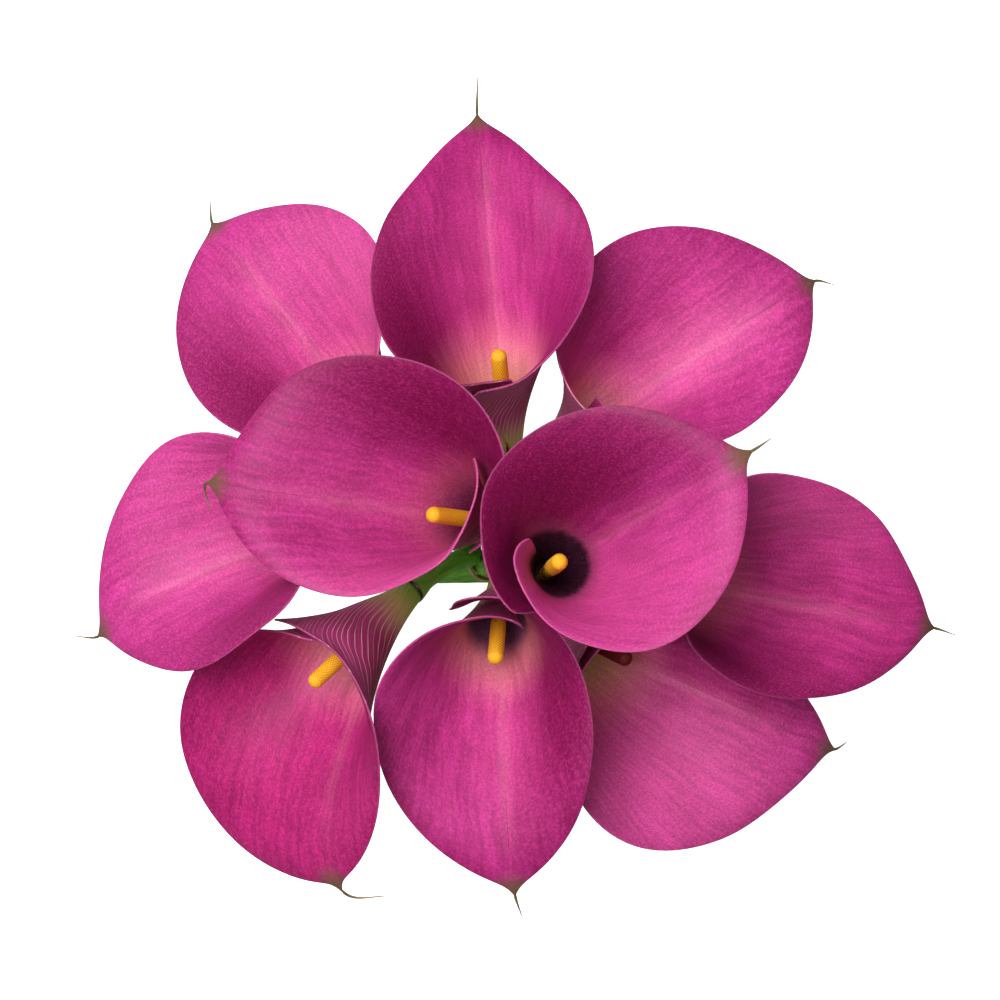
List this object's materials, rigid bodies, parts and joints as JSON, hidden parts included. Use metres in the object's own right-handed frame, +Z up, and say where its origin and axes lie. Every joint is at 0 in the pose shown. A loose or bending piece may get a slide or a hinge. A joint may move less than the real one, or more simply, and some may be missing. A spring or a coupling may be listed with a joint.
{
  "type": "arum lily bouquet",
  "caption": "Hand-tied bunch of arum lilies with pink funnel blooms and yellow spadices, standing on level-cut stems.",
  "frame": {"origin": "centre of the box's bottom face, on the surface that the cut stems stand on", "axes": "+Z up along the bunch, +X to the right and +Y to the top of the picture, which looks straight down"},
  "size_m": [0.3005, 0.2844, 0.2836],
  "materials": {
    "spathe": "satin petal, magenta pink with fine veins, dark maroon outside",
    "spadix": "matt, densely grained yellow",
    "stem": "smooth fleshy green",
    "tie": "dry natural raffia"
  },
  "bodies": {
    "root": {"spathe_top": "spathe", "spadix_top": "spadix", "stem_top": "stem", "spathe_top_left": "spathe", "spadix_top_left": "spadix", "stem_top_left": "stem", "spathe_top_right": "spathe", "spadix_top_right": "spadix", "stem_top_right": "stem", "spathe_centre_left": "spathe", "spadix_centre_left": "spadix", "stem_centre_left": "stem", "spathe_centre_right": "spathe", "spadix_centre_right": "spadix", "stem_centre_right": "stem", "spathe_right": "spathe", "spadix_right": "spadix", "stem_right": "stem", "spathe_left": "spathe", "spadix_left": "spadix", "stem_left": "stem", "spathe_bottom_left": "spathe", "spadix_bottom_left": "spadix", "stem_bottom_left": "stem", "spathe_bottom": "spathe", "spadix_bottom": "spadix", "stem_bottom": "stem", "spathe_bottom_right": "spathe", "spadix_bottom_right": "spadix", "stem_bottom_right": "stem", "tie": "tie"}
  },
  "joints": []
}
